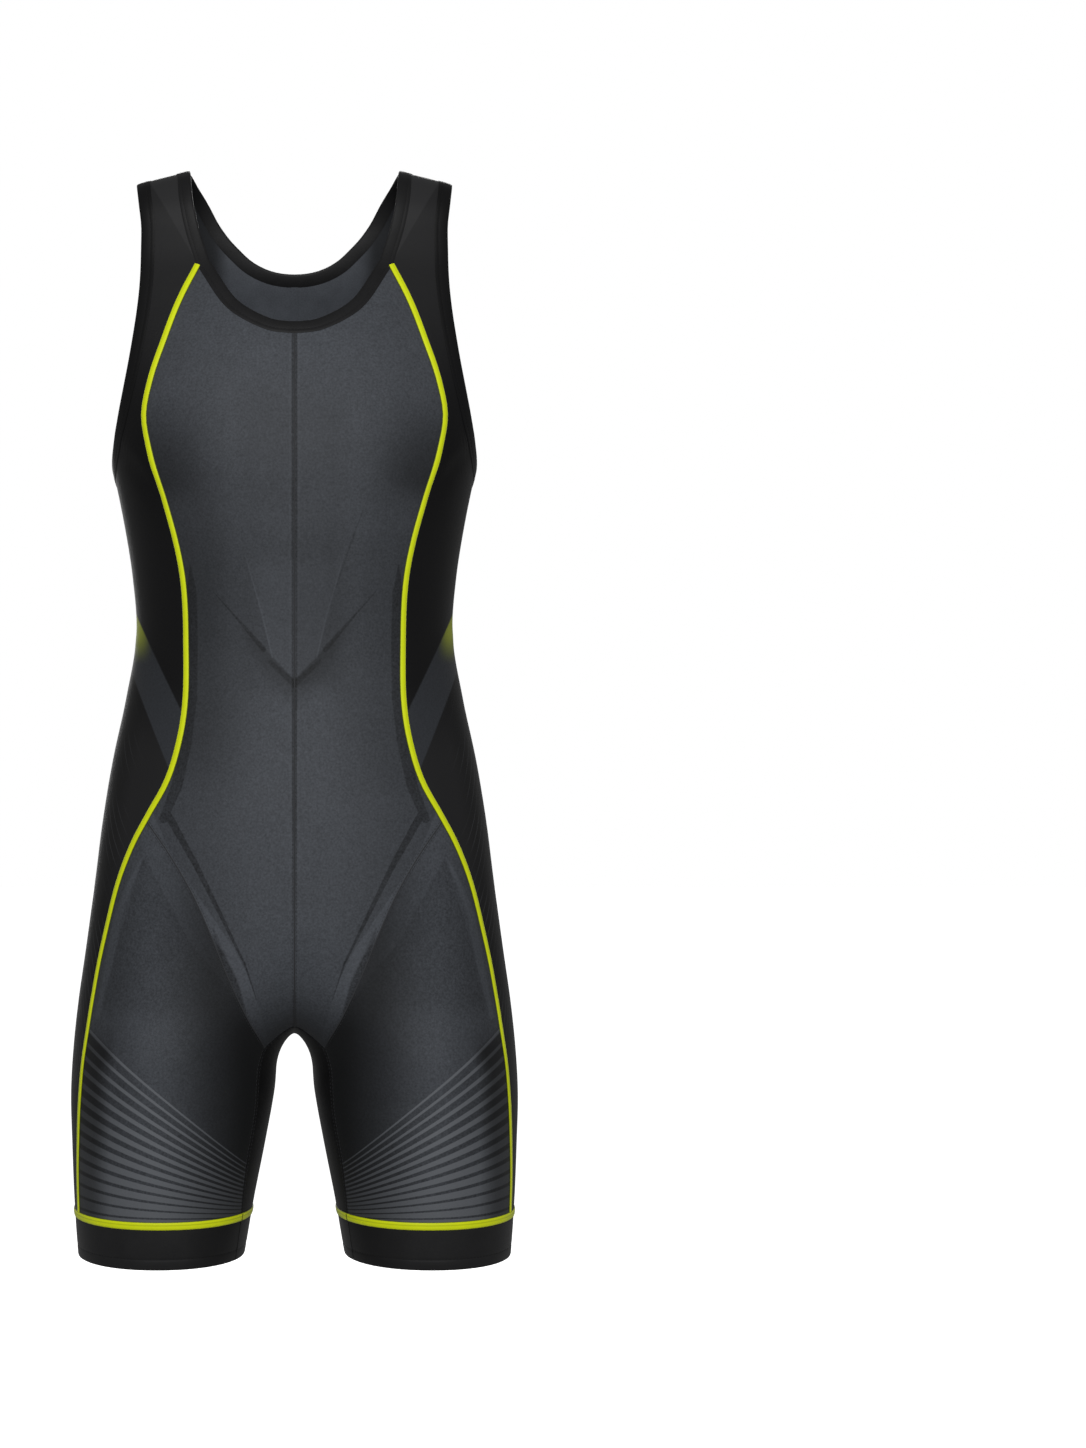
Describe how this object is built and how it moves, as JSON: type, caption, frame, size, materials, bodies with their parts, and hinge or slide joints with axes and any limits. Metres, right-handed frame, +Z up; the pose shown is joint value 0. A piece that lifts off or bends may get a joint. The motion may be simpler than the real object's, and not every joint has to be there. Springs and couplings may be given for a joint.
{
  "type": "wrestling singlet",
  "caption": "Sleeveless close-fitting one-piece suit with short legs, wide straps, low armholes, contrast piping and banded leg hems, filled out as worn.",
  "frame": {"origin": "midway between the two shoulder straps, level with their inner top edges, where the wearer's shoulders carry the suit", "axes": "+Z up, -Y towards the front of the wearer, +X towards the wearer's left side"},
  "size_m": [0.3782, 0.2285, 0.9165],
  "materials": {
    "body_cloth": "matt knit, charcoal with fine grain",
    "thigh_cloth": "matt knit, charcoal with grey stripes",
    "side_cloth": "matt knit, black with fine grey lines",
    "binding": "matt folded knit binding",
    "cuff_cloth": "matt doubled knit",
    "lime_trim": "satin lime trim"
  },
  "bodies": {
    "root": {"front_panel_left": "body_cloth", "front_panel_right": "body_cloth", "front_leg_left": "thigh_cloth", "front_leg_right": "thigh_cloth", "side_panel_left": "side_cloth", "side_panel_right": "side_cloth", "side_leg_left": "side_cloth", "side_leg_right": "side_cloth", "back_panel_left": "body_cloth", "back_panel_right": "body_cloth", "back_leg_left": "body_cloth", "back_leg_right": "body_cloth", "armhole_binding_left": "binding", "armhole_binding_right": "binding", "cuff_left": "cuff_cloth", "cuff_right": "cuff_cloth", "front_piping_left": "lime_trim", "front_piping_right": "lime_trim", "back_arm_piping_left": "lime_trim", "back_arm_piping_right": "lime_trim", "back_side_piping_left": "lime_trim", "back_side_piping_right": "lime_trim", "cuff_band_left": "lime_trim", "cuff_band_right": "lime_trim", "gusset": "side_cloth", "neck_binding": "binding"}
  },
  "joints": []
}
